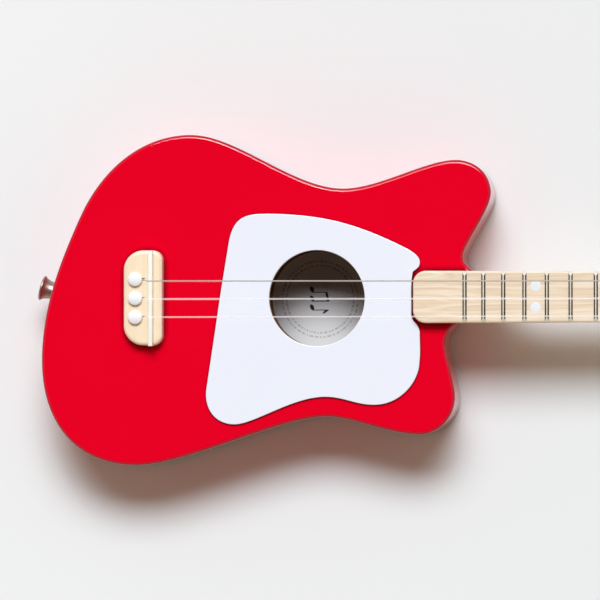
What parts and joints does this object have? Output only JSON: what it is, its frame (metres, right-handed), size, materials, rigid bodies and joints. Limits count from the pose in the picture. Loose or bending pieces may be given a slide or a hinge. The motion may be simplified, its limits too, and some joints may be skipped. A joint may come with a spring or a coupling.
{
  "type": "toy acoustic guitar",
  "caption": "Small hollow-body guitar for children: lacquered body with two short horns, white pickguard, sound hole, maple neck, pinned bridge and geared tuners.",
  "frame": {"origin": "on the flat of the back, on the neck's centre line, straight under the saddle", "axes": "+X along the neck towards the headstock, +Y towards the low-string side, +Z out of the soundboard; the guitar lies on its back"},
  "size_m": [0.5801, 0.1841, 0.0599],
  "materials": {
    "red_paint": "thick gloss lacquer over plywood",
    "spruce": "raw softwood",
    "maple": "satin sealed maple",
    "fretboard_maple": "satin sealed maple",
    "label_paper": "matt uncoated paper",
    "white_gloss_plastic": "polished white sheet",
    "ivory_plastic": "satin moulded",
    "pin_plastic": "polished moulded",
    "dot_plastic": "sanded flush",
    "button_plastic": "polished moulded",
    "fret_metal": "polished nickel silver",
    "chrome": "polished plating",
    "zinc_steel": "zinc plated",
    "brass": "machined",
    "felt": "pressed felt",
    "string_nylon": "plain nylon strand"
  },
  "bodies": {
    "guitar": {"soundboard": "red_paint", "back_plate": "red_paint", "rim_bass": "red_paint", "rim_treble": "red_paint", "neck_block": "spruce", "tail_block": "spruce", "top_lining": "spruce", "back_lining": "spruce", "top_braces": "spruce", "back_braces": "spruce", "bridge_plate": "maple", "label": "label_paper", "pickguard": "white_gloss_plastic", "bridge": "maple", "saddle": "ivory_plastic", "neck": "maple", "fretboard": "fretboard_maple", "frets": "fret_metal", "position_dots": "dot_plastic", "nut": "ivory_plastic", "neck_bolts": "zinc_steel", "neck_inserts": "brass", "strap_button": "chrome", "strap_screw": "chrome", "strap_felt": "felt", "string_1": "string_nylon", "string_2": "string_nylon", "string_3": "string_nylon", "tuner_1_plate": "chrome", "tuner_2_plate": "chrome", "tuner_3_plate": "chrome", "tuner_bushings": "chrome", "tuner_screws": "chrome"},
    "bridge_pin_1": {"bridge_pin_1": "pin_plastic"},
    "bridge_pin_2": {"bridge_pin_2": "pin_plastic"},
    "bridge_pin_3": {"bridge_pin_3": "pin_plastic"},
    "tuner_1_key": {"tuner_1_worm": "chrome", "tuner_1_button": "button_plastic"},
    "tuner_1_spindle": {"tuner_1_post": "chrome", "tuner_1_gear": "brass", "tuner_1_gear_screw": "zinc_steel", "string_1_winding": "string_nylon"},
    "tuner_2_key": {"tuner_2_worm": "chrome", "tuner_2_button": "button_plastic"},
    "tuner_2_spindle": {"tuner_2_post": "chrome", "tuner_2_gear": "brass", "tuner_2_gear_screw": "zinc_steel", "string_2_winding": "string_nylon"},
    "tuner_3_key": {"tuner_3_worm": "chrome", "tuner_3_button": "button_plastic"},
    "tuner_3_spindle": {"tuner_3_post": "chrome", "tuner_3_gear": "brass", "tuner_3_gear_screw": "zinc_steel", "string_3_winding": "string_nylon"}
  },
  "joints": [
    {"name": "bridge_pin_1_pull", "type": "slide", "parent": "guitar", "child": "bridge_pin_1", "axis": [0, 0, 1], "range_m": [0, 0.025]},
    {"name": "bridge_pin_2_pull", "type": "slide", "parent": "guitar", "child": "bridge_pin_2", "axis": [0, 0, 1], "range_m": [0, 0.025]},
    {"name": "bridge_pin_3_pull", "type": "slide", "parent": "guitar", "child": "bridge_pin_3", "axis": [0, 0, 1], "range_m": [0, 0.025]},
    {"name": "tuner_1_key_turn", "type": "hinge", "parent": "guitar", "child": "tuner_1_key", "pos_m": [0.44781, 0.01195, 0.0315], "axis": [0, 1, 0], "continuous": true},
    {"name": "tuner_1_spindle_turn", "type": "hinge", "parent": "guitar", "child": "tuner_1_spindle", "pos_m": [0.441, 0.01195, 0.05], "axis": [0, 0, 1], "continuous": true},
    {"name": "tuner_2_key_turn", "type": "hinge", "parent": "guitar", "child": "tuner_2_key", "pos_m": [0.47581, 0.00258, 0.0315], "axis": [0, 1, 0], "continuous": true},
    {"name": "tuner_2_spindle_turn", "type": "hinge", "parent": "guitar", "child": "tuner_2_spindle", "pos_m": [0.469, 0.00258, 0.05], "axis": [0, 0, 1], "continuous": true},
    {"name": "tuner_3_key_turn", "type": "hinge", "parent": "guitar", "child": "tuner_3_key", "pos_m": [0.50381, -0.00692, 0.0315], "axis": [0, 1, 0], "continuous": true},
    {"name": "tuner_3_spindle_turn", "type": "hinge", "parent": "guitar", "child": "tuner_3_spindle", "pos_m": [0.497, -0.00692, 0.05], "axis": [0, 0, 1], "continuous": true}
  ],
  "couplings": [
    {"joint": "tuner_1_spindle_turn", "follows": "tuner_1_key_turn", "ratio": -0.071429},
    {"joint": "tuner_2_spindle_turn", "follows": "tuner_2_key_turn", "ratio": -0.071429},
    {"joint": "tuner_3_spindle_turn", "follows": "tuner_3_key_turn", "ratio": -0.071429}
  ]
}
